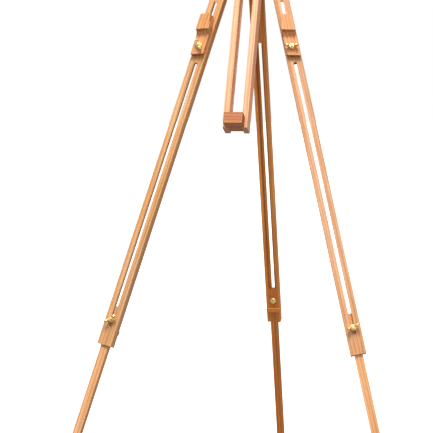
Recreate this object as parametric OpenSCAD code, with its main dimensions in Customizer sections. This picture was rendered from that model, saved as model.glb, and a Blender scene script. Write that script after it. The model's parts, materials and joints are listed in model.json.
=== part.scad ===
// Tripod artist easel in beech: two front legs and a rear leg that fold at a head, telescoping
// lower legs, a canvas ledge on each front leg, and a tilting, sliding mast with a canvas clamp.
// Z is up, the front of the easel faces -Y, and the floor is at Z = 0.

/* [Stance] */
// Height of the front leg pivots above the floor
pivot_h = 1317; // [1300:1:1330]
// Half the distance between the front leg pivots
pivot_x = 50; // [50:0.5:54]
// Sideways splay of each front leg, in degrees
splay = 14.6; // [14:0.1:15]
// Backward lean of the front leg plane, in degrees
lean = 15.8; // [15:0.1:16]
// Outward turn of each front leg about its own length, in degrees
toe_out = 8; // [0:0.5:8.5]
// Lean of the rear leg, in degrees
rear_lean = 17.5; // [17:0.1:18]
// Lean of the mast, in degrees
mast_lean = 24.3; // [18:0.1:30]

/* [Legs] */
// Width of an upper leg board
board_w = 32; // [31:0.5:33]
// Thickness of an upper leg board
board_t = 18; // [18:0.1:19]
// Distance from the front leg pivots down to the boards' lower ends
board_below_pivot = 855; // [835:1:875]
// Distance from the rear leg pivot down to its board's lower end
rear_below_pivot = 802; // [790:1:815]
// Width of the through slots
slot_w = 7; // [6.6:0.2:8]
// Thickness of the slotted web at the bottom of a leg's channel
web_t = 4.7; // [4.2:0.1:4.9]
// Width of a lower leg
lower_w = 17; // [16:0.5:18]
// Thickness of a lower leg
lower_t = 12.7; // [11:0.1:12.8]
// Height of a leg bolt above the board's lower end
bolt_up = 55; // [52:1:60]

/* [Ledges] */
// Width of a canvas ledge
ledge_w = 28; // [24:0.5:30]
// How far a ledge's shelf stands out from the leg
shelf_out = 24; // [22:0.5:26]
// How far a ledge's body stands out from the leg
ledge_out = 10.5; // [9:0.5:12]
// Mean height of the ledges' lower edges above the boards' lower ends
ledge_up = 644; // [642:1:650]
// How far the left ledge is set above that height, and the right one below it
ledge_stagger = 2; // [0:0.5:2]

/* [Mast] */
// Length of the mast
mast_l = 780; // [760:1:800]
// Width of one mast rail
rail_w = 12.3; // [11:0.1:12.6]
// Depth of one mast rail, front to back
rail_d = 33; // [32:0.5:34]
// Width of the gap between the mast rails
rail_gap = 27.7; // [26:0.1:28]
// Length of mast below the middle of its carriage
mast_below = 391; // [360:1:420]

/* [Hardware] */
// Radius of the bolts
bolt_r = 3; // [2.5:0.1:3.2]
// Tip-to-tip span of a wing nut
wing_span = 28; // [26:0.5:29]

/* [Hidden] */

$fn = 48;
gap = 0.3;            // clearance between flat faces that slide past each other
run = 0.05;           // radial clearance of a bolt in its hole
wood = "burlywood";
dark_wood = "peru";
brass = "gold";

// Y of the front leg pivots, which puts the feet's outline midway over Y = 0
pivot_y = -49.9;

// Channel and slots of an upper leg board
channel_w = lower_w + 0.6;
board_over_pivot = 20;
lower_over_bolt = 30;
slot_below_bolt = 10;
front_slot_top = 630;
rear_slot_top = 684;
ledge_bolt_up = 19;
ledge_slot_low = ledge_up - ledge_stagger + ledge_bolt_up - slot_w / 2 - gap;
ledge_slot_top = 770;
lower_y = web_t + (board_t - web_t - lower_t) / 2;

// Washers and wing nuts
washer_r = 6.6;
washer_t = 1.2;
hub_r = 5;
hub_h = 8;
wing_t = 3.2;
nut_stand = 0.1;      // play under a wing nut

// Cleat across the open side of an upper leg's channel
cleat_up = 27;
cleat_l = 10;
cleat_t = 4;

// Head, in the plane of the front legs: x across, y back from the legs' outer faces, z up
cheek_in = 28.4;
cheek_t = 12;
cheek_out = cheek_in + cheek_t;
wing_out = 68;
wing_front = 22;
wing_back = 44;
pivot_head_back = 41;
tilt_pin = [0, 59.6, -2.5];
rear_pin = [0, 75.6, -30.3];
spreader = [42, 58, -44, -20];
screw_l = 28;
hex_h = 5;

// Ledge
ledge_h = 85;
shelf_h = 34;
cove_r = shelf_out - ledge_out;

// Mast, in its own plane: x across, y back from the rails' front faces, z along the mast
tilt_pin_back = 72;
foot_block = [40, 24, 24.5];
spacer_d = 22;
spacer_h = 24.5;
groove_y = 19.5;
groove_w = 7;
groove_d = 3;
carriage_h = 40;
flange = [52, 8, 32];
lug_r = 9;
plate = [52, 10, 36];
canvas_clamp_up = 690;
clamp_bolt_up = 17;

// Places a front leg: x across the board, y back from its outer face, z up from its pivot
module in_front_leg(s)
    translate([s * pivot_x, pivot_y, pivot_h]) rotate([-lean, 0, 0]) rotate([0, -s * splay, 0])
        rotate([0, 0, s * toe_out]) children();

// The same, with z measured up from the board's lower end
module from_leg_end(s) in_front_leg(s) translate([0, 0, -board_below_pivot]) children();

// Places the head's parts, with the origin midway between the front leg pivots
module in_head() translate([0, pivot_y, pivot_h]) rotate([-lean, 0, 0]) children();

// Places the rear leg's parts as on a front leg: y runs from the outer face to the open side
module from_rear_leg_end()
    in_head() translate(rear_pin) rotate([lean + rear_lean, 0, 0]) mirror([0, 1, 0])
        translate([0, -board_t / 2, -rear_below_pivot]) children();

// Places the mast's parts: y back from the rails' front faces, z up from the carriage's middle
module in_mast()
    in_head() translate(tilt_pin) rotate([lean - mast_lean, 0, 0])
        translate([0, -tilt_pin_back, 0]) children();

// The same, with z measured up from the mast's lower end
module from_mast_end() in_mast() translate([0, 0, -mast_below]) children();

// Turns a part that points up to point out of a board's outer or front face
module facing_front() rotate([90, 0, 0]) children();

// Turns a part that points up to point out of a board's back face
module facing_back() rotate([-90, 0, 0]) children();

// Turns a part that points up to point along x
module facing_side(s) rotate([0, s * 90, 0]) children();

// Box centred on x, from y0 to y1 and z0 to z1
module slab(w, y0, y1, z0, z1)
    translate([-w / 2, y0, z0]) cube([w, y1 - y0, z1 - z0]);

// Round hole or pin along y
module along_y(r, y0, y1) translate([0, y0, 0]) facing_back() cylinder(r = r, h = y1 - y0);

// Round hole or pin along x, centred
module along_x(r, l) rotate([0, 90, 0]) cylinder(r = r, h = l, center = true);

// Slot with round ends through a board, from z0 to z1
module through_slot(z0, z1) {
    end_r = slot_w / 2;
    slab(slot_w, -1, web_t + 1, z0 + end_r, z1 - end_r);
    for (z = [z0 + end_r, z1 - end_r]) translate([0, 0, z]) along_y(end_r, -1, web_t + 1);
}

// Carriage bolt: domed head below z = 0, shank up
module carriage_bolt(l) {
    dome_r = 7.2;
    dome_h = 3.2;
    ball_r = (dome_r * dome_r + dome_h * dome_h) / (2 * dome_h);
    color(brass) {
        intersection() {
            translate([0, 0, ball_r - dome_h]) sphere(r = ball_r, $fn = 64);
            translate([0, 0, -dome_h - 1]) cylinder(r = dome_r + 1, h = dome_h + 1);
        }
        cylinder(r = bolt_r, h = l);
    }
}

// Flat washer lying on z = 0
module washer() color(brass) difference() {
    cylinder(r = washer_r, h = washer_t);
    translate([0, 0, -1]) cylinder(r = bolt_r + run, h = washer_t + 2);
}

// Wing nut standing on z = 0, with its wings along x
module wing_nut() {
    ear_r = 4.6;
    ear_x = wing_span / 2 - ear_r;
    ear_z = 9.6;
    color(brass) difference() {
        union() {
            cylinder(r = hub_r + 1, h = 2);
            cylinder(r = hub_r, h = hub_h);
            for (s = [-1, 1]) rotate([90, 0, 0]) linear_extrude(wing_t, center = true) {
                translate([s * ear_x, ear_z]) circle(r = ear_r);
                polygon([[s * 2, 1], [s * (hub_r + 1), 1.2], [s * (ear_x + 3.6), ear_z - 2.9],
                    [s * (ear_x - 3.1), ear_z + 3.4], [s * (hub_r - 1), 7.4], [s * 2, 7.4]]);
            }
        }
        translate([0, 0, -1]) cylinder(r = bolt_r + run, h = hub_h + 8);
    }
}

// Channel in the back of an upper leg board and slot in its outer face, z up from its lower end
module leg_board_cuts(top) {
    slab(channel_w, web_t, board_t + 1, -1, top + 1);
    through_slot(bolt_up - slot_below_bolt - slot_w / 2 - gap, top);
}
module front_upper_leg(s) color(wood) from_leg_end(s) difference() {
    slab(board_w, 0, board_t, 0, board_below_pivot + board_over_pivot);
    leg_board_cuts(front_slot_top);
    through_slot(ledge_slot_low, ledge_slot_top);
    slab(channel_w, web_t, board_t + 1, ledge_slot_low - 6, ledge_slot_top + 6);
    translate([0, 0, board_below_pivot]) along_y(bolt_r + run, -1, board_t + 1);
}
module left_upper_leg() front_upper_leg(-1);
module right_upper_leg() front_upper_leg(1);

module rear_upper_leg() color(dark_wood) from_rear_leg_end() difference() {
    union() {
        slab(board_w, 0, board_t, 0, rear_below_pivot);
        translate([0, board_t / 2, rear_below_pivot]) along_x(board_t / 2, board_w);
    }
    leg_board_cuts(rear_slot_top);
    translate([0, board_t / 2, rear_below_pivot]) along_x(bolt_r + run, board_w + 2);
}

// Cleat that keeps the lower leg in the channel
module cleat() color(dark_wood)
    slab(board_w, board_t, board_t + cleat_t, cleat_up, cleat_up + cleat_l);
module left_leg_cleat() from_leg_end(-1) cleat();
module right_leg_cleat() from_leg_end(1) cleat();
module rear_leg_cleat() from_rear_leg_end() cleat();

// Everything above the floor, to cut the feet level
module above_floor() translate([-700, -700, 0]) cube([1400, 1400, 2200]);

// Lower leg in its board's frame, made too long and then cut level at the floor
module lower_leg_stock() difference() {
    slab(lower_w, lower_y, lower_y + lower_t, -620, bolt_up + lower_over_bolt);
    translate([0, 0, bolt_up]) along_y(bolt_r + run, 0, board_t + 1);
}
module front_lower_leg(s) color(wood) intersection() {
    from_leg_end(s) lower_leg_stock();
    above_floor();
}
module left_lower_leg() front_lower_leg(-1);
module right_lower_leg() front_lower_leg(1);
module rear_lower_leg() color(dark_wood) intersection() {
    from_rear_leg_end() lower_leg_stock();
    above_floor();
}

// Leg bolt with its head on the lower leg's open side, and its washer and wing nut outside
module leg_bolt() translate([0, lower_y + lower_t, bolt_up]) facing_front()
    carriage_bolt(lower_y + lower_t + gap + washer_t + hub_h + 4);
module leg_washer() translate([0, -gap, bolt_up]) facing_front() washer();
module leg_wing_nut(turn) translate([0, -gap - washer_t - nut_stand, bolt_up])
    facing_front() rotate(turn) wing_nut();
module left_leg_bolt() from_leg_end(-1) leg_bolt();
module right_leg_bolt() from_leg_end(1) leg_bolt();
module rear_leg_bolt() from_rear_leg_end() leg_bolt();
module left_leg_washer() from_leg_end(-1) leg_washer();
module right_leg_washer() from_leg_end(1) leg_washer();
module rear_leg_washer() from_rear_leg_end() leg_washer();
module left_leg_wing_nut() from_leg_end(-1) leg_wing_nut(45);
module right_leg_wing_nut() from_leg_end(1) leg_wing_nut(15);
module rear_leg_wing_nut() from_rear_leg_end() leg_wing_nut(60);

// Side of a ledge: x out from the leg, y up from its lower edge, with a cove under the shelf
module ledge_side() difference() {
    square([shelf_out, ledge_h]);
    translate([ledge_out, -1]) square([cove_r + 1, ledge_h - shelf_h - cove_r + 1]);
    translate([shelf_out, ledge_h - shelf_h - cove_r]) circle(r = cove_r);
}

// Places a ledge's parts on its leg: z up from the ledge's lower edge
module on_ledge(s) from_leg_end(s) translate([0, -gap, ledge_up - s * ledge_stagger]) children();

// Ledge with a level shelf, sides in line with the leg, and a tongue that fits the slot
module ledge(s) color(wood) on_ledge(s) difference() {
    union() {
        intersection() {
            rotate([0, s * splay, 0]) rotate([90, 0, -90])
                linear_extrude(ledge_w + 30, center = true) ledge_side();
            slab(ledge_w, -shelf_out - 1, 0, -20, ledge_h + 20);
        }
        slab(slot_w - 2 * gap, -1, web_t, ledge_bolt_up + 6, ledge_bolt_up + 24);
    }
    translate([0, 0, ledge_bolt_up]) along_y(bolt_r + run, -shelf_out - 1, board_t);
}
module ledge_bolt(s) on_ledge(s) translate([0, web_t + 2 * gap, ledge_bolt_up]) facing_front()
    carriage_bolt(web_t + 2 * gap + ledge_out + hub_h + 4);
module ledge_wing_nut(s, turn) on_ledge(s) translate([0, -ledge_out - nut_stand, ledge_bolt_up])
    facing_front() rotate(turn) wing_nut();
module left_ledge() ledge(-1);
module right_ledge() ledge(1);
module left_ledge_bolt() ledge_bolt(-1);
module right_ledge_bolt() ledge_bolt(1);
module left_ledge_wing_nut() ledge_wing_nut(-1, 133);
module right_ledge_wing_nut() ledge_wing_nut(1, -12);

// Outline of a head cheek: x back, y up, round about both pins
module cheek_side() {
    r = 14;
    polygon([[wing_front, -24], [wing_front, 20], [wing_back, 20], [tilt_pin[1], tilt_pin[2] + r],
        [tilt_pin[1] + 0.866 * r, tilt_pin[2] + 0.5 * r],
        [rear_pin[1] + 0.866 * r, rear_pin[2] + 0.5 * r],
        [rear_pin[1], rear_pin[2] - r], [spreader[0], rear_pin[2] - r]]);
    for (pin = [tilt_pin, rear_pin]) translate([pin[1], pin[2]]) circle(r = r);
}

// Cheek with the wing that a front leg is bolted to. The pad and the recess for the bolt's head
// are square to that leg
module head_cheek(s) color(wood) difference() {
    union() {
        in_head() {
            translate([s * (cheek_in + cheek_t / 2), 0, 0]) rotate([90, 0, 90])
                linear_extrude(cheek_t, center = true) cheek_side();
            translate([s * (cheek_out + wing_out - 1) / 2, 0, 0])
                slab(wing_out - cheek_out + 1, wing_front, wing_back, -24, 20);
        }
        in_front_leg(s) along_y(16, board_t + gap, wing_back - 6);
    }
    in_front_leg(s) {
        along_y(bolt_r + run, 0, pivot_head_back + 1);
        along_y(8.4, pivot_head_back, pivot_head_back + 12);
    }
    in_head() for (pin = [tilt_pin, rear_pin]) translate(pin) along_x(bolt_r + run, 2 * wing_out);
    at_head_screws() facing_side(s) translate([0, 0, cheek_out]) screw_hole();
}
module head_left_cheek() head_cheek(-1);
module head_right_cheek() head_cheek(1);

// Block between the cheeks
module head_spreader() color(wood) difference() {
    in_head() slab(2 * cheek_in, spreader[0], spreader[1], spreader[2], spreader[3]);
    for (s = [-1, 1]) at_head_screws() facing_side(s) translate([0, 0, cheek_out]) screw_hole();
}

// Countersunk wood screws through the cheeks into the spreader
module at_head_screws() in_head() for (z = [-38, -26])
    translate([0, (spreader[0] + spreader[1]) / 2, z]) children();
module screw_shape(extra) {
    translate([0, 0, -2.4]) cylinder(r1 = 1.6 + extra, r2 = 3.4 + extra, h = 2.4 + extra);
    translate([0, 0, -screw_l - extra]) cylinder(r = 1.6 + extra, h = screw_l - 2);
}
module screw_hole() screw_shape(run);
module head_screws() color(brass) for (s = [-1, 1])
    at_head_screws() facing_side(s) translate([0, 0, cheek_out]) screw_shape(0);

// Bolts, washers and wing nuts that the front legs turn on
module pivot_bolt(s) in_front_leg(s) translate([0, pivot_head_back, 0]) facing_front()
    carriage_bolt(pivot_head_back + gap + washer_t + hub_h + 4);
module pivot_wing_nut(s) in_front_leg(s) translate([0, -gap - washer_t - nut_stand, 0])
    facing_front() rotate(s * 25) wing_nut();
module left_pivot_bolt() pivot_bolt(-1);
module right_pivot_bolt() pivot_bolt(1);
module left_pivot_wing_nut() pivot_wing_nut(-1);
module right_pivot_wing_nut() pivot_wing_nut(1);
module pivot_washers() for (s = [-1, 1])
    in_front_leg(s) translate([0, -gap, 0]) facing_front() washer();

// Bolt that the mast tilts on, from the left cheek to the wing nut on the right
module mast_tilt_bolt() in_head() translate(tilt_pin) translate([-cheek_out, 0, 0])
    facing_side(1) carriage_bolt(2 * cheek_out + washer_t + hub_h + 4);
module mast_tilt_washer() in_head() translate(tilt_pin) translate([cheek_out, 0, 0])
    facing_side(1) washer();
module mast_tilt_wing_nut() in_head() translate(tilt_pin)
    translate([cheek_out + washer_t + nut_stand, 0, 0]) facing_side(1) rotate(20) wing_nut();

// Bolt that the rear leg folds on, with a hexagon nut and two wooden spacers
module rear_pivot_bolt() in_head() translate(rear_pin) translate([-cheek_out, 0, 0])
    facing_side(1) carriage_bolt(2 * cheek_out + hex_h + 2);
module rear_pivot_nut() color(brass) in_head() translate(rear_pin) translate([cheek_out, 0, 0])
    facing_side(1) difference() {
        cylinder(r = 5.8, h = hex_h, $fn = 6);
        translate([0, 0, -1]) cylinder(r = bolt_r + run, h = hex_h + 2);
    }
module rear_pivot_spacers() color(dark_wood) for (s = [-1, 1])
    in_head() translate(rear_pin) facing_side(s) translate([0, 0, board_w / 2 + gap])
        difference() {
            cylinder(r = 12, h = cheek_in - board_w / 2 - gap);
            translate([0, 0, -1]) cylinder(r = bolt_r + run, h = cheek_in);
        }

// Carriage: a core between the rails with tongues in their grooves, and a lug to the tilt bolt
module mast_carriage() color(wood) in_mast() difference() {
    lug_w = 2 * (cheek_in - gap);
    union() {
        slab(rail_gap - 2 * gap, gap, rail_d + gap + 1, -carriage_h / 2, carriage_h / 2);
        slab(rail_gap + 2 * (groove_d - gap), groove_y + gap, groove_y + groove_w - gap,
            -carriage_h / 2, carriage_h / 2);
        slab(flange[0], rail_d + gap, rail_d + gap + flange[1], -flange[2] / 2, flange[2] / 2);
        slab(lug_w, rail_d + flange[1] + 6, tilt_pin_back, -lug_r, lug_r);
        slab(flange[0] - 8, rail_d + flange[1] - 1, tilt_pin_back, -lug_r, lug_r);
        translate([0, tilt_pin_back, 0]) along_x(lug_r, lug_w);
    }
    translate([0, tilt_pin_back, 0]) along_x(bolt_r + run, lug_w + 2);
    along_y(bolt_r + run, -1, rail_d - 4);
}

// Clamp plate across the rails' front faces, and the stud, washer and wing nut that draw it in
module mast_clamp_plate() color(wood) in_mast() difference() {
    slab(plate[0], -gap - plate[1], -gap, -plate[2] / 2, plate[2] / 2);
    along_y(bolt_r + run, -plate[1] - 2, 1);
}
module mast_clamp_stud() color(brass) in_mast()
    along_y(bolt_r, -gap - plate[1] - washer_t - hub_h - 4, rail_d - 4.5);
module mast_clamp_washer() in_mast() translate([0, -gap - plate[1], 0]) facing_front() washer();
module mast_clamp_wing_nut() in_mast()
    translate([0, -gap - plate[1] - washer_t - nut_stand, 0]) facing_front()
        rotate(15) wing_nut();

// Mast rail, grooved on the face that looks at the other rail
module mast_rail(s) color(wood) from_mast_end() difference() {
    translate([s * (rail_gap + rail_w) / 2, 0, 0]) slab(rail_w, 0, rail_d, 0, mast_l);
    slab(rail_gap + 2 * groove_d, groove_y, groove_y + groove_w, spacer_h, mast_l - spacer_h);
}
module mast_left_rail() mast_rail(-1);
module mast_right_rail() mast_rail(1);

// Canvas rest across the foot of the rails, and the spacers that join the rails' ends
module mast_foot_block() color(dark_wood) from_mast_end()
    slab(foot_block[0], -foot_block[1], 0, 0, foot_block[2]);
module mast_foot_spacer() color(dark_wood) from_mast_end()
    slab(rail_gap, 0, spacer_d, 0, spacer_h);
module mast_top_spacer() color(wood) from_mast_end()
    slab(rail_gap, 0, spacer_d, mast_l - spacer_h, mast_l);

// Canvas clamp: a jaw with a lip that hooks over the canvas, and a bar behind the rails
module canvas_clamp_side() {
    square([14, 50]);
    translate([0, 34]) square([38, 16]);
    translate([32, 28]) square([6, 8]);
}
module canvas_clamp() color(wood) from_mast_end() translate([0, -gap, canvas_clamp_up])
    difference() {
        union() {
            rotate([90, 0, -90]) linear_extrude(foot_block[0], center = true)
                canvas_clamp_side();
            slab(rail_gap - 2 * gap, -1, 12, 4, 46);
        }
        translate([0, 0, clamp_bolt_up]) along_y(bolt_r + run, -20, 20);
    }
module canvas_clamp_back_bar() color(wood) from_mast_end() translate([0, 0, canvas_clamp_up])
    difference() {
        slab(plate[0], rail_d + gap, rail_d + gap + plate[1], 4, 30);
        translate([0, 0, clamp_bolt_up]) along_y(bolt_r + run, rail_d, rail_d + 20);
    }
module canvas_clamp_bolt() from_mast_end()
    translate([0, -gap - 14, canvas_clamp_up + clamp_bolt_up]) facing_back()
        carriage_bolt(14 + rail_d + 2 * gap + plate[1] + hub_h + 4);
module canvas_clamp_wing_nut() from_mast_end()
    translate([0, rail_d + gap + plate[1] + nut_stand, canvas_clamp_up + clamp_bolt_up])
        facing_back() rotate(30) wing_nut();

head_left_cheek();
head_right_cheek();
head_spreader();
head_screws();
left_pivot_bolt();
right_pivot_bolt();
pivot_washers();
left_pivot_wing_nut();
right_pivot_wing_nut();
mast_tilt_bolt();
mast_tilt_washer();
mast_tilt_wing_nut();
rear_pivot_bolt();
rear_pivot_nut();
rear_pivot_spacers();
left_upper_leg();
right_upper_leg();
rear_upper_leg();
left_leg_cleat();
right_leg_cleat();
rear_leg_cleat();
left_lower_leg();
right_lower_leg();
rear_lower_leg();
left_leg_bolt();
right_leg_bolt();
rear_leg_bolt();
left_leg_washer();
right_leg_washer();
rear_leg_washer();
left_leg_wing_nut();
right_leg_wing_nut();
rear_leg_wing_nut();
left_ledge();
right_ledge();
left_ledge_bolt();
right_ledge_bolt();
left_ledge_wing_nut();
right_ledge_wing_nut();
mast_carriage();
mast_clamp_plate();
mast_clamp_stud();
mast_clamp_washer();
mast_clamp_wing_nut();
mast_left_rail();
mast_right_rail();
mast_foot_block();
mast_foot_spacer();
mast_top_spacer();
canvas_clamp();
canvas_clamp_back_bar();
canvas_clamp_bolt();
canvas_clamp_wing_nut();
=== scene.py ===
"""A folding beech artist easel with procedural wood and brass, in a plain white studio."""
import json
import math

import bmesh
import bpy
from mathutils import Matrix, Vector

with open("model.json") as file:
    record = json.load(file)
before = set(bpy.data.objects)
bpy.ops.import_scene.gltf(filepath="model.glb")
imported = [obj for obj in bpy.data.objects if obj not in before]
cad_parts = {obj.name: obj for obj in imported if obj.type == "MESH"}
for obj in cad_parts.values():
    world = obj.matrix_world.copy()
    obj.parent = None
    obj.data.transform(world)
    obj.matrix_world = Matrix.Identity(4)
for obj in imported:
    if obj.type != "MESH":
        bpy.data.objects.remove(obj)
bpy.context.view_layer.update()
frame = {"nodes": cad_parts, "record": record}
nodes = frame["nodes"]
slots = {part["node"]: part["material_slot"] for part in frame["record"]["subparts"]}
scene = bpy.context.scene
MM = 0.001

# ---------------------------------------------------------------- camera

CAMERA_TARGET = Vector((0.0, -0.392, 0.802))
CAMERA_DISTANCE = 2.878
CAMERA_AZIMUTH = 0.2164
CAMERA_ELEVATION = 0.08
CAMERA_LENS = 122.9
SENSOR_WIDTH = 36.0


def add_camera():
    back = Vector((
        math.sin(CAMERA_AZIMUTH) * math.cos(CAMERA_ELEVATION),
        -math.cos(CAMERA_AZIMUTH) * math.cos(CAMERA_ELEVATION),
        math.sin(CAMERA_ELEVATION),
    ))
    data = bpy.data.cameras.new("camera")
    data.lens = CAMERA_LENS
    data.sensor_width = SENSOR_WIDTH
    camera = bpy.data.objects.new("camera", data)
    camera.location = CAMERA_TARGET + back * CAMERA_DISTANCE
    camera.rotation_euler = back.to_track_quat("Z", "Y").to_euler()
    scene.collection.objects.link(camera)
    scene.camera = camera


# ---------------------------------------------------------------- node helpers


class Nodes:
    """Adds shader nodes to a tree and links them."""

    def __init__(self, tree):
        self.tree = tree
        tree.nodes.clear()

    def add(self, kind, inputs=None, **settings):
        node = self.tree.nodes.new(kind)
        for name, value in settings.items():
            setattr(node, name, value)
        for key, value in (inputs or {}).items():
            if isinstance(value, bpy.types.NodeSocket):
                self.tree.links.new(value, node.inputs[key])
            else:
                node.inputs[key].default_value = value
        return node

    def math(self, operation, a, b=0.0, clamp=False):
        node = self.add("ShaderNodeMath", {0: a, 1: b}, operation=operation, use_clamp=clamp)
        return node.outputs[0]

    def mix(self, factor, a, b, blend="MIX"):
        node = self.add("ShaderNodeMix", {0: factor, 6: a, 7: b}, data_type="RGBA", blend_type=blend)
        return node.outputs[2]

    def ramp(self, factor, stops):
        node = self.add("ShaderNodeValToRGB", {0: factor})
        elements = node.color_ramp.elements
        while len(elements) < len(stops):
            elements.new(0.5)
        for element, (position, color) in zip(elements, stops):
            element.position = position
            element.color = (*color, 1.0) if len(color) == 3 else color
        return node.outputs[0]

    def grey_ramp(self, factor, *stops):
        return self.ramp(factor, [(position, (grey,) * 3) for position, grey in stops])


# ---------------------------------------------------------------- wood

BOARD_FACE = Vector((0.0, 1.0, 0.0))
WOOD_ROUGHNESS = 0.46
GRAIN_STRENGTH = 0.85

def grain_frame(axis):
    """Rotation whose rows are across the board, through it and along it."""
    along = axis.normalized()
    across = BOARD_FACE.cross(along).normalized()
    through = along.cross(across)
    return Matrix((across, through, along))


def beech(name, axis, light, dark, seed):
    """Oiled beech with its grain along axis. light and dark are its linear colours."""
    material = bpy.data.materials.new(name)
    material.use_nodes = True
    n = Nodes(material.node_tree)
    turn = grain_frame(axis)
    place = n.add("ShaderNodeTexCoord")
    board = n.add(
        "ShaderNodeMapping",
        {"Vector": place.outputs["Object"], "Location": (seed * 0.37, seed * 0.61, seed * 1.93),
         "Rotation": turn.to_euler()},
    ).outputs[0]

    def stretched(across, along, detail, distortion=0.0, roughness=0.5):
        scaled = n.add("ShaderNodeMapping", {"Vector": board, "Scale": (across, across, along)})
        return n.add(
            "ShaderNodeTexNoise",
            {"Vector": scaled.outputs[0], "Scale": 1.0, "Detail": detail,
             "Roughness": roughness, "Distortion": distortion},
        ).outputs["Fac"]

    patches = stretched(9.0, 4.5, 2.0)
    streaks = stretched(110.0, 2.6, 3.0, 0.3)
    fibres = stretched(900.0, 16.0, 3.0, 0.0, 0.6)
    flecks = stretched(1500.0, 210.0, 2.0, 0.0, 0.45)

    # Growth rings: tilted bands, bent slowly along the board
    bent = n.add("ShaderNodeMapping", {"Vector": board, "Scale": (1.0, 0.55, 0.035)})
    rings = n.add(
        "ShaderNodeTexWave",
        {"Vector": bent.outputs[0], "Scale": 46.0, "Distortion": 5.5, "Detail": 3.0,
         "Detail Scale": 0.55, "Detail Roughness": 0.6},
        wave_type="BANDS", bands_direction="X", wave_profile="SAW",
    ).outputs["Fac"]

    middle = tuple((a + b) / 2 for a, b in zip(light, dark))
    amber = tuple(c * t for c, t in zip(middle, (0.98, 0.86, 0.62)))
    color = n.ramp(streaks, [(0.3, tuple(c * 0.85 for c in dark)), (0.47, middle), (0.7, light)])
    color = n.mix(n.grey_ramp(patches, (0.38, 0.0), (0.62, 0.75)), color, (*amber, 1.0))
    ring_tint = n.ramp(
        rings, [(0.0, (1.06, 1.05, 1.04)), (0.6, (0.97, 0.91, 0.82)), (0.93, (0.68, 0.52, 0.36)),
                (1.0, (0.9, 0.82, 0.72))])
    color = n.mix(GRAIN_STRENGTH, color, ring_tint, "MULTIPLY")
    fibre_tint = n.ramp(fibres, [(0.3, (0.76, 0.67, 0.57)), (0.65, (1.10, 1.10, 1.10))])
    color = n.mix(GRAIN_STRENGTH, color, fibre_tint, "MULTIPLY")
    fleck_mask = n.grey_ramp(flecks, (0.60, 0.0), (0.68, 1.0))
    color = n.mix(n.math("MULTIPLY", fleck_mask, 0.5), color, tuple(c * 0.45 for c in dark) + (1.0,))

    # Sawn ends drink more oil, so they are darker and duller
    facing = n.add(
        "ShaderNodeVectorMath", {0: place.outputs["Normal"], 1: axis.normalized()}, operation="DOT_PRODUCT"
    ).outputs["Value"]
    end = n.grey_ramp(n.math("ABSOLUTE", facing), (0.75, 0.0), (0.93, 1.0))
    pores = n.add("ShaderNodeTexVoronoi", {"Vector": board, "Scale": 1900.0}).outputs["Distance"]
    end_color = n.mix(n.grey_ramp(pores, (0.1, 0.0), (0.45, 1.0)), tuple(c * 0.3 for c in dark) + (1.0,),
                      tuple(c * 0.72 for c in dark) + (1.0,))
    color = n.mix(end, color, end_color)

    shine = n.math("ADD", n.math("MULTIPLY", streaks, 0.16), WOOD_ROUGHNESS - 0.08)
    shine = n.math("ADD", shine, n.math("MULTIPLY", end, 0.22), clamp=True)
    height = n.math("ADD", n.math("MULTIPLY", fibres, 0.6), n.math("MULTIPLY", rings, 0.25))
    height = n.math("SUBTRACT", height, n.math("MULTIPLY", fleck_mask, 0.35))
    bump = n.add("ShaderNodeBump", {"Height": height, "Strength": 0.35, "Distance": 0.00025})
    shader = n.add(
        "ShaderNodeBsdfPrincipled",
        {"Base Color": color, "Roughness": shine, "Normal": bump.outputs[0],
         "Specular IOR Level": 0.35, "Coat Weight": 0.08, "Coat Roughness": 0.3},
    )
    n.add("ShaderNodeOutputMaterial", {"Surface": shader.outputs[0]})
    return material


# Linear colours of each board, light and dark
TONES = {
    "leg_beech": ((0.72, 0.40, 0.20), (0.54, 0.27, 0.115)),
    "mast_beech": ((0.83, 0.45, 0.29), (0.64, 0.32, 0.185)),
    "red_beech": ((0.45, 0.165, 0.038), (0.33, 0.11, 0.022)),
    # dark_beech is the rear leg's beech: a darker, more saturated copy of the leg beech, painted shade for a
    # leg that faces down, away from the top light
    "dark_beech": ((0.76, 0.32, 0.070), (0.50, 0.185, 0.034)),
}
# How each board differs from its slot's tone: partly its own wood, partly painted shade, which darkens and
# saturates the rear lower leg and the ledges where they sit in shade
BOARD_WOOD_AND_SHADE_TINTS = {
    "left_upper_leg": (0.94, 1.01, 1.05),
    "right_upper_leg": (0.89, 0.92, 1.10),
    "left_lower_leg": (1.08, 1.14, 1.30),
    "right_lower_leg": (1.00, 1.04, 1.14),
    "rear_lower_leg": (0.84, 0.73, 0.56),
    "left_ledge": (0.94, 0.84, 0.70),
    "right_ledge": (0.96, 0.83, 0.70),
}


def longest_axis(node):
    """Direction of the node's longest rim edge, which a board's grain follows.

    Each CAD face is a patch of its own, so an edge inside a face has two faces and its rim one.
    """
    edit = bmesh.new()
    edit.from_mesh(nodes[node].data)
    rims = [edge for edge in edit.edges if len(edge.link_faces) == 1]
    longest = max(rims, key=lambda edge: edge.calc_length())
    axis = longest.verts[1].co - longest.verts[0].co
    edit.free()
    return axis if axis.z >= 0 else -axis


# ---------------------------------------------------------------- brass


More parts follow.
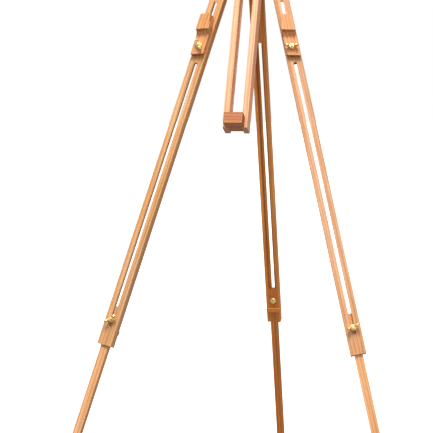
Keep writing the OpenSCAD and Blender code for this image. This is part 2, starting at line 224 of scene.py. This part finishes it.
def brass():
    material = bpy.data.materials.new("brass")
    material.use_nodes = True
    n = Nodes(material.node_tree)
    place = n.add("ShaderNodeTexCoord").outputs["Object"]
    cloud = n.add("ShaderNodeTexNoise", {"Vector": place, "Scale": 160.0, "Detail": 4.0}).outputs["Fac"]
    scratch_space = n.add("ShaderNodeMapping", {"Vector": place, "Scale": (400.0, 400.0, 5200.0)})
    scratches = n.add(
        "ShaderNodeTexNoise", {"Vector": scratch_space.outputs[0], "Scale": 1.0, "Detail": 3.0}
    ).outputs["Fac"]
    cast = n.add("ShaderNodeTexNoise", {"Vector": place, "Scale": 900.0, "Detail": 2.0}).outputs["Fac"]
    color = n.ramp(cloud, [(0.3, (0.80, 0.55, 0.18)), (0.55, (0.95, 0.73, 0.32)), (0.75, (1.0, 0.84, 0.48))])
    rough = n.math("ADD", n.math("MULTIPLY", cloud, 0.2), 0.2)
    rough = n.math("ADD", rough, n.math("MULTIPLY", scratches, 0.1))
    height = n.math("ADD", n.math("MULTIPLY", cast, 0.6), n.math("MULTIPLY", scratches, 0.4))
    bump = n.add("ShaderNodeBump", {"Height": height, "Strength": 0.25, "Distance": 0.00015})
    shader = n.add(
        "ShaderNodeBsdfPrincipled",
        {"Base Color": color, "Metallic": 1.0, "Roughness": rough, "Normal": bump.outputs[0]},
    )
    n.add("ShaderNodeOutputMaterial", {"Surface": shader.outputs[0]})
    return material


# ---------------------------------------------------------------- edges and finishes

WELD_DISTANCE = 0.01 * MM
FLAT_ANGLE = math.radians(0.5)
BEVEL_ANGLE = math.radians(35)
BEVEL_SEGMENTS = 2
WOOD_EDGE = 0.8 * MM
METAL_EDGE = 0.25 * MM
NO_TINT = (1.0, 1.0, 1.0)


def soften_edges(obj, width):
    """Modifiers that join the CAD mesh's facets and round its edges; its own mesh stays as it is."""
    weld = obj.modifiers.new("weld", "WELD")
    weld.merge_threshold = WELD_DISTANCE
    flat = obj.modifiers.new("flat", "DECIMATE")
    flat.decimate_type = "DISSOLVE"
    flat.angle_limit = FLAT_ANGLE
    bevel = obj.modifiers.new("bevel", "BEVEL")
    bevel.width = width
    bevel.segments = BEVEL_SEGMENTS
    bevel.limit_method = "ANGLE"
    bevel.angle_limit = BEVEL_ANGLE
    bevel.harden_normals = True
    bevel.use_clamp_overlap = True


def set_material(obj, material):
    obj.data.materials.clear()
    obj.data.materials.append(material)


def finish_wood():
    seed = 1
    for name, slot in slots.items():
        if slot not in TONES:
            continue
        obj = nodes[name]
        # The board's tint carries painted shade as well as its own wood colour
        tint = BOARD_WOOD_AND_SHADE_TINTS.get(name, NO_TINT)
        light, dark = (tuple(c * t for c, t in zip(tone, tint)) for tone in TONES[slot])
        set_material(obj, beech("beech_" + name, longest_axis(name), light, dark, seed))
        soften_edges(obj, WOOD_EDGE)
        seed += 1


def finish_metal(material):
    for name, slot in slots.items():
        if slot == "brass":
            set_material(nodes[name], material)
            soften_edges(nodes[name], METAL_EDGE)


# ---------------------------------------------------------------- studio

FLOOR_RADIUS = 60.0
LIGHT_AIM = (0.0, -0.1, 0.9)


def add_world():
    world = bpy.data.worlds.new("studio")
    scene.world = world
    world.use_nodes = True
    n = Nodes(world.node_tree)
    path = n.add("ShaderNodeLightPath")
    direction = n.add("ShaderNodeTexCoord").outputs["Generated"]
    height = n.add("ShaderNodeSeparateXYZ", {0: direction}).outputs["Z"]
    overhead = n.grey_ramp(height, (0.1, 0.2), (0.45, 0.5), (0.8, 1.0))
    sky = n.add(
        "ShaderNodeBackground",
        {"Color": (0.97, 0.985, 1.0, 1.0), "Strength": n.math("MULTIPLY", overhead, 1.5)},
    )
    backdrop = n.add("ShaderNodeBackground", {"Color": (1.0, 1.0, 1.0, 1.0), "Strength": 1.0})
    both = n.add(
        "ShaderNodeMixShader",
        {0: path.outputs["Is Camera Ray"], 1: sky.outputs[0], 2: backdrop.outputs[0]},
    )
    n.add("ShaderNodeOutputWorld", {"Surface": both.outputs[0]})


def add_area_light(name, place, aim, size, watts):
    data = bpy.data.lights.new(name, "AREA")
    data.shape = "RECTANGLE"
    data.size, data.size_y = size
    data.energy = watts
    light = bpy.data.objects.new(name, data)
    light.location = place
    light.rotation_euler = (Vector(place) - Vector(aim)).to_track_quat("Z", "Y").to_euler()
    scene.collection.objects.link(light)


def add_floor():
    """White floor that fades into the backdrop and throws little light back up."""
    mesh = bpy.data.meshes.new("floor")
    edit = bmesh.new()
    bmesh.ops.create_circle(edit, cap_ends=True, radius=FLOOR_RADIUS, segments=128)
    edit.to_mesh(mesh)
    edit.free()
    floor = bpy.data.objects.new("floor", mesh)
    scene.collection.objects.link(floor)
    material = bpy.data.materials.new("floor")
    material.use_nodes = True
    n = Nodes(material.node_tree)
    seen = n.add("ShaderNodeLightPath").outputs["Is Camera Ray"]
    shader = n.add(
        "ShaderNodeBsdfPrincipled",
        {"Base Color": n.mix(seen, (0.30, 0.29, 0.28, 1.0), (0.8, 0.8, 0.8, 1.0)), "Roughness": 0.9,
         "Specular IOR Level": 0.1, "Emission Color": (1.0, 1.0, 1.0, 1.0),
         "Emission Strength": n.math("MULTIPLY", seen, 0.68)},
    )
    n.add("ShaderNodeOutputMaterial", {"Surface": shader.outputs[0]})
    mesh.materials.append(material)


def add_studio():
    scene.view_settings.view_transform = "Standard"
    add_world()
    add_floor()
    add_area_light("top", (0.2, -1.9, 4.4), LIGHT_AIM, (1.4, 1.4), 165.0)
    add_area_light("right", (2.4, -3.4, 2.2), LIGHT_AIM, (1.2, 1.6), 33.0)


add_camera()
add_studio()
finish_wood()
finish_metal(brass())
